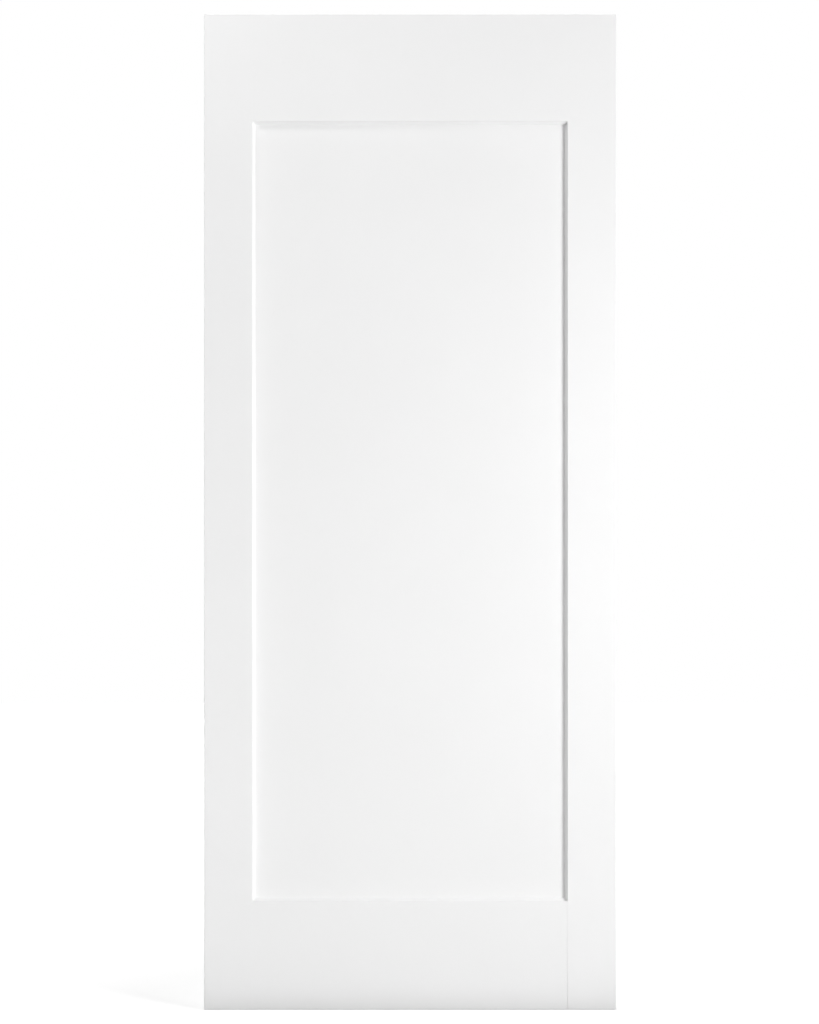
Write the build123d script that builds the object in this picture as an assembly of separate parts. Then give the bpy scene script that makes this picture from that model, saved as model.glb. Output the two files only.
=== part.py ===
from build123d import *
import os

# A sliding barn door leaf with one flat panel, built as an engineered stile-and-rail door:
# two full-height stiles and two rails, each a laminated core between edge bands under thin
# hard skins, and one plain panel held in a groove that runs round the opening.
# X runs across the leaf, Y through its thickness with the front at -Y, and Z up.
# The origin is the middle of the top edge, which the hangers carry.
# All sizes are millimetres.

# The whole leaf
door_width = 883.7
door_height = 2133.6
door_thickness = 34.9

# Width of the flat face of each frame member, out to the arris of its sticking
stile_face = 104.0
top_rail_face = 229.5
bottom_rail_face = 232.5

# Layers of a stile or rail
skin_thickness = 3.2
outer_band_width = 8.0
inner_band_width = 18.0

# Sticking: a square drop from the face, then a slope that runs in towards the panel
square_drop = 5.5
slope_run = 5.5

# The panel and the groove that holds it
panel_thickness = 12.7
panel_play = 0.1
groove_depth = 10.0
panel_edge_gap = 2.0

# Stub tongue on each rail end, which fills the stile's groove
tongue_end_gap = 0.5

# Slot along the bottom edge that runs over the floor guide
guide_slot_width = 8.0
guide_slot_depth = 19.0

# Eased edges
perimeter_radius = 1.2
arris_radius = 0.5

# Worked out from the sizes above
half_width = door_width / 2
half_thickness = door_thickness / 2
skin_plane = half_thickness - skin_thickness
groove_width = panel_thickness + 2 * panel_play
half_groove = groove_width / 2
slope_plane = half_thickness - square_drop
opening_half_width = half_width - stile_face
foot_half_width = opening_half_width - slope_run
opening_top = -top_rail_face
opening_bottom = -door_height + bottom_rail_face
foot_top = opening_top - slope_run
foot_bottom = opening_bottom + slope_run
tongue_reach = foot_half_width + groove_depth - tongue_end_gap

# Two coordinates nearer than this are the same, and a cutting block reaches this far past the wood
same_place = 1e-4
cut_past = 1.0


def block(x, y, z):
    """A box from three (low, high) pairs of coordinates."""
    size = [high - low for low, high in (x, y, z)]
    centre = [(low + high) / 2 for low, high in (x, y, z)]
    return Pos(*centre) * Box(*size)


def grooved_outline(outer, arris):
    """Cross-section of a frame member: its width, from the outer edge to the sticking's foot and
    the panel groove, against the door's thickness."""
    inward = 1 if arris > outer else -1
    foot = arris + inward * slope_run
    groove_floor = foot - inward * groove_depth
    return [
        (outer, -half_thickness),
        (arris, -half_thickness),
        (arris, -slope_plane),
        (foot, -half_groove),
        (groove_floor, -half_groove),
        (groove_floor, half_groove),
        (foot, half_groove),
        (arris, slope_plane),
        (arris, half_thickness),
        (outer, half_thickness),
    ]


def eased(member, arris_edges, perimeter_edges):
    """Rounds the arris of the sticking, then the edges on the outside of the leaf."""
    member = fillet(arris_edges(member), arris_radius)
    return fillet(perimeter_edges(member), perimeter_radius)


def on_face(edge):
    """True for an edge that lies in the front or back face of the leaf."""
    return all(abs(abs(v.Y) - half_thickness) < same_place for v in edge.vertices())


def guide_slot():
    """The slot for the floor guide, right through the leaf from side to side."""
    return block(
        (-half_width - cut_past, half_width + cut_past),
        (-guide_slot_width / 2, guide_slot_width / 2),
        (-door_height - cut_past, -door_height + guide_slot_depth),
    )


def stile_blank(side):
    """A full-height stile with sharp edges. side is -1 for the left stile and 1 for the right."""
    outline = grooved_outline(side * half_width, side * opening_half_width)
    section = make_face(Polyline(*[(x, y, -door_height) for x, y in outline], close=True))
    return extrude(section, door_height, dir=(0, 0, 1))


def stile(side):
    """A stile with its sticking, groove and guide slot, and every edge eased."""

    def arris_edges(member):
        def at_arris(edge):
            return on_face(edge) and all(
                abs(v.X - side * opening_half_width) < same_place for v in edge.vertices()
            )

        return member.edges().filter_by(Axis.Z).filter_by(at_arris)

    def perimeter_edges(member):
        def outside(edge):
            at_side = all(abs(v.X - side * half_width) < same_place for v in edge.vertices())
            at_end = all(
                min(abs(v.Z), abs(v.Z + door_height)) < same_place for v in edge.vertices()
            )
            return (on_face(edge) and (at_side or at_end)) or (at_side and at_end)

        return member.edges().filter_by(outside)

    return eased(stile_blank(side), arris_edges, perimeter_edges) - guide_slot()


def rail(outer, arris):
    """A rail whose ends are coped over the stiles' sticking and carry stub tongues for their
    grooves. outer and arris are the heights of its outer edge and of its sticking's arris."""
    outline = grooved_outline(outer, arris)
    section = make_face(
        Polyline(*[(-tongue_reach, y, z) for z, y in outline], close=True)
    )
    blank = extrude(section, 2 * tongue_reach, dir=(1, 0, 0))

    def arris_edges(member):
        def at_arris(edge):
            return on_face(edge) and all(
                abs(v.Z - arris) < same_place for v in edge.vertices()
            )

        return member.edges().filter_by(Axis.X).filter_by(at_arris)

    def perimeter_edges(member):
        def outside(edge):
            return on_face(edge) and all(
                abs(v.Z - outer) < same_place for v in edge.vertices()
            )

        return member.edges().filter_by(Axis.X).filter_by(outside)

    member = eased(blank, arris_edges, perimeter_edges)
    everywhere_up = (-door_height - cut_past, cut_past)
    for side in (-1, 1):
        member -= stile_blank(side)
        # The tongue is as thick as the panel, so it has the panel's play in the groove
        for face in (-1, 1):
            beyond_foot = sorted((side * foot_half_width, side * half_width))
            play = sorted((face * panel_thickness / 2, face * half_groove))
            member -= block(beyond_foot, play, everywhere_up)
    return member - guide_slot()


def layer(member, across, through, up):
    """The part of a member inside a box, with None for a direction that isn't limited."""
    everywhere = (-2 * door_height, 2 * door_height)
    return member & block(across or everywhere, through or everywhere, up or everywhere)


front_skin = (-half_thickness - cut_past, -skin_plane)
back_skin = (skin_plane, half_thickness + cut_past)
between_skins = (-skin_plane, skin_plane)


def stile_pieces(name, side):
    """Core, two edge bands and two skins of one stile."""
    member = stile(side)

    def span(start, end):
        return tuple(sorted((side * start, side * end)))

    outer_joint = half_width - outer_band_width
    inner_joint = opening_half_width + inner_band_width
    return {
        f"{name}_core": layer(member, span(inner_joint, outer_joint), between_skins, None),
        f"{name}_outer_band": layer(
            member, span(outer_joint, half_width + cut_past), between_skins, None
        ),
        f"{name}_inner_band": layer(member, span(0, inner_joint), between_skins, None),
        f"{name}_front_skin": layer(member, None, front_skin, None),
        f"{name}_back_skin": layer(member, None, back_skin, None),
    }


def rail_pieces(name, outer, arris):
    """Core, inner edge band and two skins of one rail."""
    member = rail(outer, arris)
    inward = 1 if arris > outer else -1
    joint = arris - inward * inner_band_width
    core_span = tuple(sorted((outer - inward * cut_past, joint)))
    band_span = tuple(sorted((joint, arris + inward * (slope_run + cut_past))))
    return {
        f"{name}_core": layer(member, None, between_skins, core_span),
        f"{name}_inner_band": layer(member, None, between_skins, band_span),
        f"{name}_front_skin": layer(member, None, front_skin, None),
        f"{name}_back_skin": layer(member, None, back_skin, None),
    }


def flat_panel():
    """The plain panel, which reaches into the groove on all four sides."""
    tuck = groove_depth - panel_edge_gap
    return block(
        (-foot_half_width - tuck, foot_half_width + tuck),
        (-panel_thickness / 2, panel_thickness / 2),
        (foot_bottom - tuck, foot_top + tuck),
    )


pieces = {"flat_panel": flat_panel()}
pieces |= stile_pieces("left_stile", -1)
pieces |= stile_pieces("right_stile", 1)
pieces |= rail_pieces("top_rail", 0, opening_top)
pieces |= rail_pieces("bottom_rail", -door_height, opening_bottom)

os.makedirs("parts", exist_ok=True)
for node, shape in pieces.items():
    export_step(shape, f"parts/{node}.step")
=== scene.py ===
import math
import bmesh
import bpy
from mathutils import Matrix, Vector


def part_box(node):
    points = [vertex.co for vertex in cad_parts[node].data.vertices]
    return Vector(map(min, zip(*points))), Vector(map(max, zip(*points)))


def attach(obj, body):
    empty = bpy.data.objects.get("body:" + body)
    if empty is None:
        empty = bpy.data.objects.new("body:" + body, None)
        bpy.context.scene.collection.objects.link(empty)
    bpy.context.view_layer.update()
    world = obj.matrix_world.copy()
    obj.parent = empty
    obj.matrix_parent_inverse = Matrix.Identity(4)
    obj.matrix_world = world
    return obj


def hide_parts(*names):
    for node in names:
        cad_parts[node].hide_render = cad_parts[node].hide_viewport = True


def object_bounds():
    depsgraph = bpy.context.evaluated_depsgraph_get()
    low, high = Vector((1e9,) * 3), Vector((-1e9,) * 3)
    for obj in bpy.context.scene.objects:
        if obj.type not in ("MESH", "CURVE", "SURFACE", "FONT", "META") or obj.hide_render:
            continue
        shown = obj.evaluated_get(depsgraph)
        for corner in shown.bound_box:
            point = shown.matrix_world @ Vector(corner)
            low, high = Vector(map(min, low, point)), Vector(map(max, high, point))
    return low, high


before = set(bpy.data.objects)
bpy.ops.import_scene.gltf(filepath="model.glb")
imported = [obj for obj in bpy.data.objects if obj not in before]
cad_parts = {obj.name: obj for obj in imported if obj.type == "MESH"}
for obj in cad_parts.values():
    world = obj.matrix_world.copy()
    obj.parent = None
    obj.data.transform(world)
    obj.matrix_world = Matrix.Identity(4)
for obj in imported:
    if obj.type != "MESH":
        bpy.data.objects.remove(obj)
cadBounds = [list(corner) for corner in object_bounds()]
print("frame loaded:", len(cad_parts), "nodes")

# the planes that the pieces share, all read from the frame, in metres
leafLow, leafHigh = (Vector(corner) for corner in cadBounds)
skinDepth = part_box("left_stile_core")[1].y  # half the thickness between the skins
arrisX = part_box("top_rail_front_skin")[1].x  # the stile's face ends here and its sticking begins
footX = -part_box("left_stile_inner_band")[1].x  # the sticking meets the panel here
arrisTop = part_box("top_rail_front_skin")[0].z
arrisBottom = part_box("bottom_rail_front_skin")[1].z
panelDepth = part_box("flat_panel")[1].y

across, through, up = range(3)  # the leaf's axes
samePlace = 2e-5  # two places nearer than this are one
straightOn = 0.99  # from this cosine on, an edge or a face counts as lying along an axis


# helpers for modelling as by hand

def deselectAll():
    bpy.ops.object.select_all(action="DESELECT")


def workOn(piece):
    deselectAll()
    piece.select_set(True)
    bpy.context.view_layer.objects.active = piece


def startBlock(name, low, high):
    # a cube primitive at its size and place, with both put into the mesh
    low, high = Vector(low), Vector(high)
    deselectAll()
    bpy.ops.mesh.primitive_cube_add(size=1, location=(low + high) / 2, scale=high - low)
    piece = bpy.context.object
    piece.name = name
    bpy.ops.object.transform_apply(location=True, rotation=False, scale=True)
    return piece


def near(value, *targets):
    return any(abs(value - target) < samePlace for target in targets)


def pick(piece, kind, test):
    # selects the faces, edges or points that pass the test, in edit mode
    bpy.ops.mesh.select_mode(type=kind)
    bpy.ops.mesh.select_all(action="DESELECT")
    mesh = bmesh.from_edit_mesh(piece.data)
    elements = {"FACE": mesh.faces, "EDGE": mesh.edges, "VERT": mesh.verts}[kind]
    chosen = [element for element in elements if test(element)]
    for element in chosen:
        element.select = True
    mesh.select_flush_mode()
    bmesh.update_edit_mesh(piece.data)
    return len(chosen)


def cutAcross(axis, place):
    # one more loop of edges all round, on the plane where that axis has that value
    normal, point = [0, 0, 0], [0, 0, 0]
    normal[axis], point[axis] = 1, place
    bpy.ops.mesh.select_all(action="SELECT")
    bpy.ops.mesh.bisect(plane_co=point, plane_no=normal)


def push(amount, axis):
    # extrudes the picked faces along one axis
    way = [0, 0, 0]
    way[axis] = amount
    bpy.ops.mesh.extrude_region_move(TRANSFORM_OT_translate={"value": way})


def slide(amount, axis):
    # moves what is picked along one axis
    way = [0, 0, 0]
    way[axis] = amount
    bpy.ops.transform.translate(value=way)


def middle(edge):
    return (edge.verts[0].co + edge.verts[1].co) / 2


def runsAlong(edge, axis):
    way = edge.verts[1].co - edge.verts[0].co
    return abs(way[axis]) > straightOn * way.length


def facesAlong(face, axis):
    return abs(face.normal[axis]) > straightOn


def onLeafEdge(edge):
    # true for an edge that lies in the outline of the leaf
    spot = middle(edge)
    return near(spot.x, leafLow.x, leafHigh.x) or near(spot.z, leafLow.z, leafHigh.z)


def easeEdges(piece, width, steps, test):
    if pick(piece, "EDGE", test):
        bpy.ops.mesh.bevel(offset=width, segments=steps, affect="EDGES", clamp_overlap=True)


shading = {
    "smoothUnder": 32,  # degrees; sharper edges stay sharp
    "flatWeight": 100,  # broad faces stay flat beside rounded edges
}


def finishPiece(piece, node, paint):
    bpy.ops.object.mode_set(mode="OBJECT")
    workOn(piece)
    bpy.ops.object.shade_smooth_by_angle(angle=math.radians(shading["smoothUnder"]))
    flats = piece.modifiers.new("flats", "WEIGHTED_NORMAL")
    flats.keep_sharp = True
    flats.weight = shading["flatWeight"]
    bpy.ops.object.modifier_apply(modifier="flats")
    piece.data.materials.clear()
    piece.data.materials.append(paint)
    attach(piece, "root")
    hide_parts(node)
    return piece


# paint: nodes on the piece's own metres, so every scale is a real one

paintLook = {
    "tone": (0.9, 0.9, 0.9),
    "drift": 0.01,  # how much the tone wanders from place to place
    "driftScale": 3.1,
    "roughness": 0.45,
    "roughnessDrift": 0.04,
    "patchScale": 12.4,  # of drier and wetter patches
    "gloss": 0.25,  # satin, nearly matt
    "peelScale": 420,  # orange peel of a sprayed coat
    "peelDepth": 0.00004,
    "dustScale": 2100,  # dry spray between the bumps
    "dustDepth": 0.000008,
    "swellScale": 11,  # broad waves, hardly seen, that sanding leaves
    "panelSwellScale": 5.5,
    "swellDepth": 0.00025,
}

grainLook = {
    "fibreScale": 620,  # across the grain
    "fibreStretch": 0.02,
    "fibreDepth": 0.00006,
    "bandScale": 110,  # early and late wood
    "bandStretch": 0.035,
    "bandDepth": 0.0001,
}

fingerLook = {
    "blockLength": 0.43,  # from one finger joint to the next
    "shift": 0.37,  # so that the joints differ from band to band
    "pitch": 0.004,
    "length": 0.010,
    "line": 0.0012,
    "depth": 0.00012,
}

coreLook = {
    "tone": (0.84, 0.835, 0.82),  # cut ends drink the paint, so it covers less
    "roughness": 0.6,
    "veneer": 0.0032,
    "glueLine": 0.00035,
    "glueTone": 0.9,
    "glueDepth": 0.0002,
    "fibreDepth": 0.00016,
}

noiseLow, noiseHigh = 0.35, 0.65  # a noise mostly stays between these


def newPaint(name, tone, roughness):
    paint = bpy.data.materials.new(name)
    paint.use_nodes = True
    shader = paint.node_tree.nodes["Principled BSDF"]
    shader.inputs["Base Color"].default_value = (*tone, 1)
    shader.inputs["Roughness"].default_value = roughness
    shader.inputs["Specular IOR Level"].default_value = paintLook["gloss"]
    return paint, paint.node_tree, shader


def calc(tree, operation, first, second):
    node = tree.nodes.new("ShaderNodeMath")
    node.operation = operation
    for socket, value in zip(node.inputs, (first, second)):
        if isinstance(value, bpy.types.NodeSocket):
            tree.links.new(value, socket)
        else:
            socket.default_value = value
    return node.outputs[0]


def spread(tree, value, low, high, fromLow, fromHigh):
    # gives a value a range of its own
    node = tree.nodes.new("ShaderNodeMapRange")
    node.inputs["From Min"].default_value = fromLow
    node.inputs["From Max"].default_value = fromHigh
    node.inputs["To Min"].default_value = low
    node.inputs["To Max"].default_value = high
    tree.links.new(value, node.inputs["Value"])
    return node.outputs["Result"]


def noise(tree, scale, stretch=(1, 1, 1), detail=2):
    place = tree.nodes.new("ShaderNodeTexCoord")
    mapping = tree.nodes.new("ShaderNodeMapping")
    mapping.inputs["Scale"].default_value = stretch
    tree.links.new(place.outputs["Object"], mapping.inputs["Vector"])
    node = tree.nodes.new("ShaderNodeTexNoise")
    node.inputs["Scale"].default_value = scale
    node.inputs["Detail"].default_value = detail
    tree.links.new(mapping.outputs["Vector"], node.inputs["Vector"])
    return node.outputs["Fac"]


def along(tree, axis):
    # how far along an axis the surface is, in metres
    place = tree.nodes.new("ShaderNodeTexCoord")
    split = tree.nodes.new("ShaderNodeSeparateXYZ")
    tree.links.new(place.outputs["Object"], split.inputs[0])
    return split.outputs[axis]


def addRelief(tree, shader, height, depth):
    # one more layer of bump over those that the paint has
    bump = tree.nodes.new("ShaderNodeBump")
    bump.inputs["Distance"].default_value = depth
    tree.links.new(height, bump.inputs["Height"])
    if shader.inputs["Normal"].is_linked:
        under = shader.inputs["Normal"].links[0].from_socket
        tree.links.new(under, bump.inputs["Normal"])
    tree.links.new(bump.outputs["Normal"], shader.inputs["Normal"])


def addDrift(tree, shader, tone, shade=None):
    # the tone wanders a little; shade is 1 or less and darkens lines
    cloud = noise(tree, paintLook["driftScale"], detail=3)
    drift = spread(tree, cloud, 1 - paintLook["drift"], 1, noiseLow, noiseHigh)
    if shade is not None:
        drift = calc(tree, "MULTIPLY", drift, shade)
    scaled = tree.nodes.new("ShaderNodeVectorMath")
    scaled.operation = "SCALE"
    scaled.inputs[0].default_value = tone
    tree.links.new(drift, scaled.inputs["Scale"])
    tree.links.new(scaled.outputs[0], shader.inputs["Base Color"])


def addSheen(tree, shader, roughness):
    # patches that came out a little drier or wetter from the gun
    patches = noise(tree, paintLook["patchScale"], detail=4)
    wet, dry = roughness - paintLook["roughnessDrift"], roughness + paintLook["roughnessDrift"]
    sheen = spread(tree, patches, wet, dry, noiseLow, noiseHigh)
    tree.links.new(sheen, shader.inputs["Roughness"])


def addSprayedCoat(tree, shader):
    addRelief(tree, shader, noise(tree, paintLook["peelScale"], detail=1), paintLook["peelDepth"])
    addRelief(tree, shader, noise(tree, paintLook["dustScale"], detail=2), paintLook["dustDepth"])


def addGrain(tree, shader, axis, fibreDepth):
    stretch = [1, 1, 1]
    stretch[axis] = grainLook["bandStretch"]
    rings = noise(tree, grainLook["bandScale"], stretch, detail=1)
    addRelief(tree, shader, rings, grainLook["bandDepth"])
    stretch[axis] = grainLook["fibreStretch"]
    fibres = noise(tree, grainLook["fibreScale"], stretch, detail=3)
    addRelief(tree, shader, fibres, fibreDepth)


def addFingerJoints(tree, shader, axis):
    # a zigzag seam once in every block, which shows through the paint as a hair-thin dip
    other = across if axis == up else up
    teeth = calc(tree, "PINGPONG", along(tree, through), fingerLook["pitch"] / 2)
    rise = 2 * fingerLook["length"] / fingerLook["pitch"]
    seam = calc(tree, "ADD", along(tree, axis), calc(tree, "MULTIPLY", teeth, rise))
    shift = calc(tree, "MULTIPLY", along(tree, other), fingerLook["shift"])
    gap = calc(tree, "PINGPONG", calc(tree, "ADD", seam, shift), fingerLook["blockLength"] / 2)
    addRelief(tree, shader, spread(tree, gap, 0, 1, 0, fingerLook["line"]), fingerLook["depth"])


def paintedBoard(name, swellScale):
    # satin paint over smooth fibreboard
    paint, tree, shader = newPaint(name, paintLook["tone"], paintLook["roughness"])
    addDrift(tree, shader, paintLook["tone"])
    addSheen(tree, shader, paintLook["roughness"])
    addRelief(tree, shader, noise(tree, swellScale, detail=1), paintLook["swellDepth"])
    addSprayedCoat(tree, shader)
    return paint


def paintedBand(name, axis):
    # the same paint over softwood, with the grain along that axis and finger joints
    paint, tree, shader = newPaint(name, paintLook["tone"], paintLook["roughness"])
    addDrift(tree, shader, paintLook["tone"])
    addSheen(tree, shader, paintLook["roughness"])
    addGrain(tree, shader, axis, grainLook["fibreDepth"])
    addFingerJoints(tree, shader, axis)
    addSprayedCoat(tree, shader)
    return paint


def paintedCore(name, axis):
    # a thin coat over laminated core wood, which keeps its glue lines and open pores
    paint, tree, shader = newPaint(name, coreLook["tone"], coreLook["roughness"])
    gap = calc(tree, "PINGPONG", along(tree, through), coreLook["veneer"] / 2)
    shade = spread(tree, gap, coreLook["glueTone"], 1, 0, coreLook["glueLine"])
    addDrift(tree, shader, coreLook["tone"], shade)
    addSheen(tree, shader, coreLook["roughness"])
    addGrain(tree, shader, axis, coreLook["fibreDepth"])
    height = spread(tree, gap, 0, 1, 0, coreLook["glueLine"])
    addRelief(tree, shader, height, coreLook["glueDepth"])
    return paint


skinPaint = paintedBoard("skinPaint", paintLook["swellScale"])
panelPaint = paintedBoard("panelPaint", paintLook["panelSwellScale"])
uprightBandPaint = paintedBand("uprightBandPaint", up)
levelBandPaint = paintedBand("levelBandPaint", across)
uprightCorePaint = paintedCore("uprightCorePaint", up)
levelCorePaint = paintedCore("levelCorePaint", across)
print("paints mixed")


# edges that several pieces share

edges = {
    "perimeterRound": 0.0012,
    "perimeterSteps": 4,
    "arrisRound": 0.0005,
    "arrisSteps": 3,
    "seamEase": 0.00012,  # glue lines along the edges of the leaf
}


# slots and grooves, cut with a block that runs past the leaf and is thrown away afterwards

slotSizes = {"halfWidth": 0.004, "depth": 0.019}
cutterReach = 0.01


def rout(piece, halfWidth, axis, start, end):
    # start and end lie along that axis; along the other one the cut runs right through
    bpy.ops.object.mode_set(mode="OBJECT")
    past = Vector((cutterReach, cutterReach, cutterReach))
    low, high = leafLow - past, leafHigh + past
    low.y, high.y = -halfWidth, halfWidth
    low[axis], high[axis] = sorted((start, end))
    cutter = startBlock("cutter", low, high)
    workOn(piece)
    cut = piece.modifiers.new("cut", "BOOLEAN")
    cut.operation = "DIFFERENCE"
    cut.solver = "EXACT"
    cut.object = cutter
    bpy.ops.object.modifier_apply(modifier="cut")
    bpy.data.objects.remove(cutter)
    bpy.ops.object.mode_set(mode="EDIT")


def cutGuideSlot(piece):
    slotTop = leafLow.z + slotSizes["depth"]
    rout(piece, slotSizes["halfWidth"], up, leafLow.z - cutterReach, slotTop)


# skins: thin boards on the front and back of each stile and rail

skinSizes = {
    "jointEase": 0.00012,  # where a rail meets a stile the paint shows a hairline
    "jointReach": 0.0008,  # upright edges this near the joint are eased with it
    "crackAtFoot": 0.0004,  # the joint at the front's lower right has opened, most at the foot
    "crackAtArris": 0.0001,
}


def openCrack(piece):
    # draws the right end of the bottom rail back from the stile
    ends = ((leafLow.z, skinSizes["crackAtFoot"]), (arrisBottom, skinSizes["crackAtArris"]))
    for height, width in ends:

        def atJoint(point):
            return near(point.co.x, arrisX) and near(point.co.z, height)

        pick(piece, "VERT", atJoint)
        slide(-width, across)


def makeSkin(name, node):
    low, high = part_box(node)
    isFront = low.y < 0
    isFoot = near(low.z, leafLow.z)
    isStile = isFoot and near(high.z, leafHigh.z)
    facePlane = low.y if isFront else high.y
    piece = startBlock(name, low, high)
    bpy.ops.object.mode_set(mode="EDIT")
    if isStile:
        cutAcross(up, arrisTop)
        cutAcross(up, arrisBottom)

    def outerEdge(edge):
        spot = middle(edge)
        if near(spot.y, facePlane):
            return onLeafEdge(edge)
        return runsAlong(edge, through) and near(spot.x, leafLow.x, leafHigh.x)

    def arrisEdge(edge):
        spot = middle(edge)
        if not near(spot.y, facePlane):
            return False
        if isStile:
            return near(abs(spot.x), arrisX) and arrisBottom < spot.z < arrisTop
        return near(spot.z, arrisTop, arrisBottom)

    def jointEdge(edge):
        spot = middle(edge)
        beside = abs(abs(spot.x) - arrisX) < skinSizes["jointReach"]
        return near(spot.y, facePlane) and beside and runsAlong(edge, up)

    if isFront and isFoot and not isStile:
        openCrack(piece)
    easeEdges(piece, edges["perimeterRound"], edges["perimeterSteps"], outerEdge)
    easeEdges(piece, edges["arrisRound"], edges["arrisSteps"], arrisEdge)
    easeEdges(piece, skinSizes["jointEase"], 1, jointEdge)
    return finishPiece(piece, node, skinPaint)


# stile cores and outer bands

def makeStileCore(name, node):
    low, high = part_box(node)
    piece = startBlock(name, low, high)
    bpy.ops.object.mode_set(mode="EDIT")
    cutGuideSlot(piece)

    def seam(edge):
        atSkin = near(abs(middle(edge).y), skinDepth)
        return onLeafEdge(edge) and atSkin and not runsAlong(edge, up)

    easeEdges(piece, edges["seamEase"], 1, seam)
    return finishPiece(piece, node, uprightCorePaint)


def makeOuterBand(name, node):
    low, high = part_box(node)
    outerX = leafLow.x if low.x < 0 else leafHigh.x
    piece = startBlock(name, low, high)
    bpy.ops.object.mode_set(mode="EDIT")
    cutGuideSlot(piece)

    def outerCorner(edge):
        spot = middle(edge)
        return near(spot.x, outerX) and near(spot.z, leafLow.z, leafHigh.z)

    def seam(edge):
        return runsAlong(edge, up) and near(middle(edge).x, outerX)

    easeEdges(piece, edges["perimeterRound"], edges["perimeterSteps"], outerCorner)
    easeEdges(piece, edges["seamEase"], 1, seam)
    return finishPiece(piece, node, uprightBandPaint)


# sticking: a square drop from the face, a slope, then the groove that holds the panel

sticking = {
    "squareDrop": 0.0055,
    "panelPlay": 0.0001,
    "grooveDepth": 0.010,
    "tongueLength": 0.0095,
}
slopeHalf = leafHigh.y - sticking["squareDrop"]  # both measured from the middle of the thickness
grooveHalf = panelDepth + sticking["panelPlay"]


def shapeSticking(piece, axis, arris, foot):
    cutAcross(through, -slopeHalf)
    cutAcross(through, slopeHalf)

    def edgeStrip(face):
        centre = face.calc_center_median()
        return near(centre[axis], arris) and near(centre.y, 0) and facesAlong(face, axis)

    pick(piece, "FACE", edgeStrip)
    push(foot - arris, axis)
    bpy.ops.transform.resize(value=(1, grooveHalf / slopeHalf, 1))
    outward = math.copysign(1, arris - foot)
    grooveFloor = foot + outward * sticking["grooveDepth"]
    rout(piece, grooveHalf, axis, grooveFloor, foot - outward * cutterReach)


def copeEnds(piece):
    # both ends of a rail are cut to the stile's sticking, with a tongue left in the middle
    for half in (slopeHalf, grooveHalf):
        cutAcross(through, -half)
        cutAcross(through, half)
    for side in (-1, 1):

        def inGroove(point):
            return near(point.co.x, side * arrisX) and abs(point.co.y) < grooveHalf + samePlace

        def tongueRoot(face):
            return near(face.calc_center_median().x, side * footX) and facesAlong(face, across)

        pick(piece, "VERT", inGroove)
        slide(side * (footX - arrisX), across)
        pick(piece, "FACE", tongueRoot)
        push(side * sticking["tongueLength"], across)


def makeStileInnerBand(name, node):
    low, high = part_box(node)
    side = 1 if low.x > 0 else -1
    joint = high.x if side > 0 else low.x
    start, end = sorted((side * arrisX, joint))
    piece = startBlock(name, (start, low.y, low.z), (end, high.y, high.z))
    bpy.ops.object.mode_set(mode="EDIT")
    shapeSticking(piece, across, side * arrisX, side * footX)
    cutGuideSlot(piece)
    return finishPiece(piece, node, uprightBandPaint)


def makeRailInnerBand(name, node):
    low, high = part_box(node)
    isTop = high.z > (leafLow.z + leafHigh.z) / 2
    arris, foot, joint = (arrisTop, low.z, high.z) if isTop else (arrisBottom, high.z, low.z)
    start, end = sorted((arris, joint))
    piece = startBlock(name, (-arrisX, low.y, start), (arrisX, high.y, end))
    bpy.ops.object.mode_set(mode="EDIT")
    shapeSticking(piece, up, arris, foot)
    copeEnds(piece)
    return finishPiece(piece, node, levelBandPaint)


def makeRailCore(name, node):
    low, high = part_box(node)
    piece = startBlock(name, (-arrisX, low.y, low.z), (arrisX, high.y, high.z))
    bpy.ops.object.mode_set(mode="EDIT")
    copeEnds(piece)
    if near(low.z, leafLow.z):
        cutGuideSlot(piece)

    def seam(edge):
        return onLeafEdge(edge) and near(abs(middle(edge).y), skinDepth)

    easeEdges(piece, edges["seamEase"], 1, seam)
    return finishPiece(piece, node, levelCorePaint)


# the panel runs on into the grooves, and a bead of paint fills the corner all round it

panelSizes = {
    "beadReach": 0.0004,  # how far the bead runs in under the sticking
    "beadWidth": 0.0009,
    "beadRise": 0.00045,
    "beadWall": 0.00002,
    "beadFalls": (0.65, 0.35),  # shares of the rise, so that its slope is hollow
}


def makePanel(name, node):
    low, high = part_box(node)
    tuck = high.x - footX
    piece = startBlock(name, low, high)
    bpy.ops.object.mode_set(mode="EDIT")
    for outward in (-1, 1):

        def broadFace(face):
            atSurface = near(face.calc_center_median().y, outward * panelDepth)
            return atSurface and facesAlong(face, through)

        pick(piece, "FACE", broadFace)
        bpy.ops.mesh.inset(thickness=tuck - panelSizes["beadReach"] - panelSizes["beadWall"])
        bpy.ops.mesh.inset(thickness=panelSizes["beadWall"])
        slide(outward * panelSizes["beadRise"], through)
        for share in panelSizes["beadFalls"]:
            bpy.ops.mesh.inset(thickness=panelSizes["beadWidth"] / len(panelSizes["beadFalls"]))
            slide(-outward * share * panelSizes["beadRise"], through)
    return finishPiece(piece, node, panelPaint)


for side in ("left", "right"):
    stile = side + "_stile"
    makeStileCore(side + "StileCore", stile + "_core")
    makeOuterBand(side + "StileOuterBand", stile + "_outer_band")
    makeStileInnerBand(side + "StileInnerBand", stile + "_inner_band")
    makeSkin(side + "StileFrontSkin", stile + "_front_skin")
    makeSkin(side + "StileBackSkin", stile + "_back_skin")
    print(side, "stile made")
for side in ("top", "bottom"):
    rail = side + "_rail"
    makeRailCore(side + "RailCore", rail + "_core")
    makeRailInnerBand(side + "RailInnerBand", rail + "_inner_band")
    makeSkin(side + "RailFrontSkin", rail + "_front_skin")
    makeSkin(side + "RailBackSkin", rail + "_back_skin")
    print(side, "rail made")
makePanel("flatPanel", "flat_panel")
print("panel made")


# camera, straight in front of the middle of the leaf

view = {
    "distance": 5.0,  # to the front face
    "frameHeight": 2.1954,  # what the picture takes in at the front face
    "aside": -0.0013,  # a touch left of the middle, as in the picture
}


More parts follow.
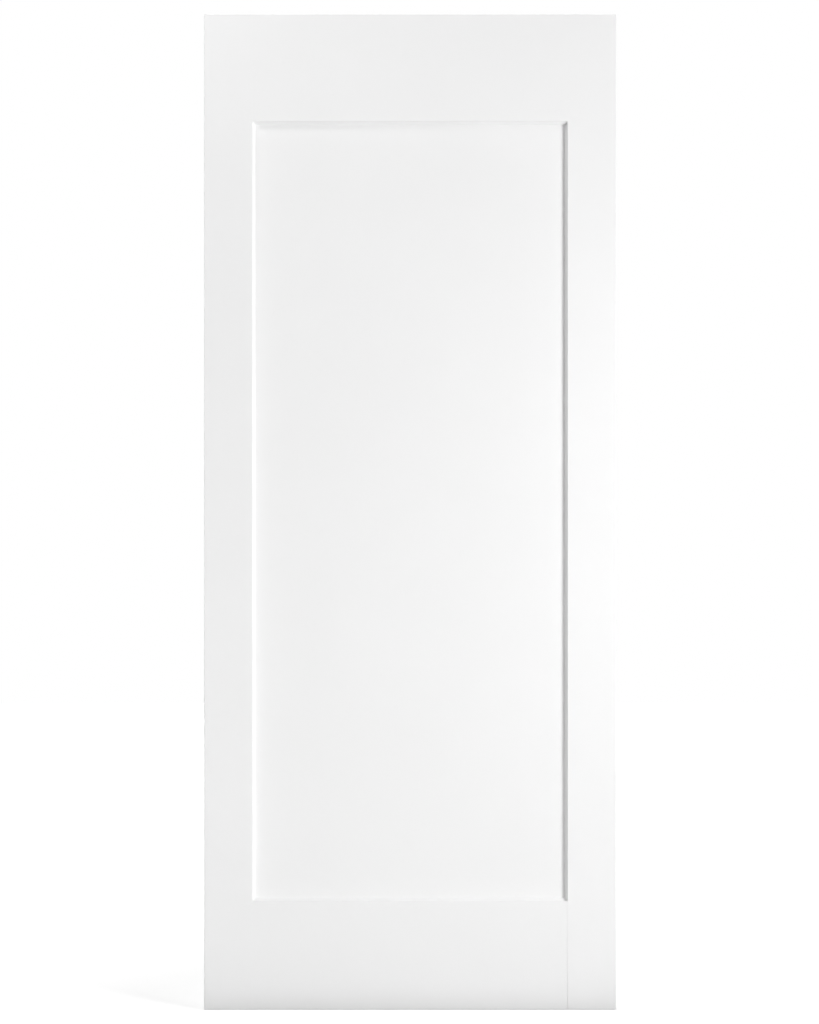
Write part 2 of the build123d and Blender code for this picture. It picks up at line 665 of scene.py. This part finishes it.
def addCamera():
    data = bpy.data.cameras.new("camera")
    data.lens = data.sensor_width * view["distance"] / view["frameHeight"]
    camera = bpy.data.objects.new("camera", data)
    bpy.context.scene.collection.objects.link(camera)
    eyeHeight = (leafLow.z + leafHigh.z) / 2
    camera.location = (view["aside"], leafLow.y - view["distance"], eyeHeight)
    camera.rotation_euler = (math.radians(90), 0, 0)
    bpy.context.scene.camera = camera


# soft boxes: place, point they face, width, height, watts

lamps = {
    "farKey": ((8.0, -7.0, -1.05), (0, 0, -1.05), 2.0, 2.0, 225),
    "highRight": ((5.0, -4.0, 1.5), (0, 0, -1.0), 2.0, 1.5, 140),
    "smallRight": ((2.5, -2.5, -1.05), (0.2, 0, -1.05), 0.5, 0.5, 30.5),
    "closeRight": ((1.3, -1.0, -1.05), (0.3, 0, -1.05), 0.4, 0.4, 3.3),
    "nearLeft": ((-1.0, -1.6, -1.1), (-0.3, 0, -1.1), 0.6, 1.8, 1.9),
    "lowLeft": ((-1.2, -2.0, -1.9), (-0.3, 0, -1.5), 0.5, 0.5, 7.6),
    "steepLeft": ((-1.3, -0.9, 1.0), (0.2, 0, -0.8), 0.6, 0.4, 16),
    "above": ((0, 0, 1.5), (0, 0, 0), 1.2, 0.3, 8),
    "lowFill": ((0, -1.5, -2.05), (0, 0, -1.2), 1.6, 0.15, 0.7),
    "backKey": ((-4.6, 5.4, -0.9), (0, 0, -1.05), 2.0, 2.5, 356),
    "backFill": ((2.5, 2.8, -1.0), (0, 0, -1.0), 1.6, 2.0, 30),
    "backOverhead": ((0, 1.4, 1.2), (0, 0, -0.8), 2.0, 0.5, 9),
}


def addLamps():
    for name, (place, target, width, height, watts) in lamps.items():
        data = bpy.data.lights.new(name, "AREA")
        data.shape = "RECTANGLE"
        data.size = width
        data.size_y = height
        data.energy = watts
        lamp = bpy.data.objects.new(name, data)
        bpy.context.scene.collection.objects.link(lamp)
        lamp.location = place
        way = Vector(target) - Vector(place)
        lamp.rotation_euler = way.to_track_quat("-Z", "Y").to_euler()
        lamp.visible_camera = False


# white all round: what the camera sees, straight, mirrored or through glass, is paper white

studio = {
    "fill": 0.01,  # the light that the surroundings give
    "floorGap": 0.001,  # the leaf hangs this far off the floor
    "floorSize": 16,
    "floorTone": 0.75,  # of the floor as it bounces light
    "footShadeTone": 0.2,  # painted shade: the floor is this dark close under the leaf, only as bounced light sees it, so the leaf's foot gets less light
    "footShadeNear": 0.045,  # that painted shade fades out between these distances from the leaf's middle plane
    "footShadeFar": 0.07,
    "floorGlow": 0.66,  # of the floor as it is seen, near the leaf, so that its shadow shows
    "floorCatch": 0.55,  # how much lamp light is added to that glow
    "whiteFrom": 0.6,  # the glow rises to white between these distances from the foot's middle
    "whiteTo": 1.6,
}


def grey(level):
    return (level, level, level, 1)


def seenRays(tree):
    # 1 for camera, glossy and transmission rays
    path = tree.nodes.new("ShaderNodeLightPath")
    seen = calc(tree, "ADD", path.outputs["Is Camera Ray"], path.outputs["Is Glossy Ray"])
    total = calc(tree, "ADD", seen, path.outputs["Is Transmission Ray"])
    return calc(tree, "MINIMUM", total, 1)


def addSky():
    world = bpy.data.worlds.new("studio")
    bpy.context.scene.world = world
    world.use_nodes = True
    tree = world.node_tree
    tree.nodes.clear()
    output = tree.nodes.new("ShaderNodeOutputWorld")
    mix = tree.nodes.new("ShaderNodeMixShader")
    tree.links.new(seenRays(tree), mix.inputs["Fac"])
    for number, strength in enumerate((studio["fill"], 1), start=1):  # unseen, then seen
        light = tree.nodes.new("ShaderNodeBackground")
        light.inputs["Color"].default_value = grey(1)
        light.inputs["Strength"].default_value = strength
        tree.links.new(light.outputs[0], mix.inputs[number])
    tree.links.new(mix.outputs[0], output.inputs["Surface"])


def floorPaint():
    paint = bpy.data.materials.new("floorPaint")
    paint.use_nodes = True
    tree = paint.node_tree
    tree.nodes.clear()
    output = tree.nodes.new("ShaderNodeOutputMaterial")
    mix = tree.nodes.new("ShaderNodeMixShader")
    tree.links.new(seenRays(tree), mix.inputs["Fac"])
    tree.links.new(mix.outputs[0], output.inputs["Surface"])

    # the floor that lamps light and that bounces light, with painted shade close under the leaf
    # that darkens the leaf's foot
    bounce = tree.nodes.new("ShaderNodeBsdfDiffuse")
    away = calc(tree, "ABSOLUTE", along(tree, through), 0)
    # painted shade: the bounce tone is dark close under the leaf
    tone = spread(tree, away, studio["footShadeTone"], studio["floorTone"],
                  studio["footShadeNear"], studio["footShadeFar"])
    tree.links.new(tone, bounce.inputs["Color"])
    tree.links.new(bounce.outputs[0], mix.inputs[1])

    # the floor that is seen, white away from the leaf
    catch = tree.nodes.new("ShaderNodeBsdfDiffuse")
    catch.inputs["Color"].default_value = grey(studio["floorCatch"])
    glow = tree.nodes.new("ShaderNodeEmission")
    place = tree.nodes.new("ShaderNodeTexCoord")
    distance = tree.nodes.new("ShaderNodeVectorMath")
    distance.operation = "LENGTH"
    tree.links.new(place.outputs["Object"], distance.inputs[0])
    strength = spread(tree, distance.outputs["Value"], studio["floorGlow"], 1,
                      studio["whiteFrom"], studio["whiteTo"])
    tree.links.new(strength, glow.inputs["Strength"])
    both = tree.nodes.new("ShaderNodeAddShader")
    tree.links.new(glow.outputs[0], both.inputs[0])
    tree.links.new(catch.outputs[0], both.inputs[1])
    tree.links.new(both.outputs[0], mix.inputs[2])
    return paint


def addFloor():
    deselectAll()
    floorHeight = leafLow.z - studio["floorGap"]
    bpy.ops.mesh.primitive_plane_add(size=studio["floorSize"], location=(0, 0, floorHeight))
    floor = bpy.context.object
    floor.name = "studioFloor"
    floor.data.materials.append(floorPaint())


addCamera()
addLamps()
addSky()
addFloor()
bpy.context.scene.view_settings.view_transform = "Standard"
print("studio lit")
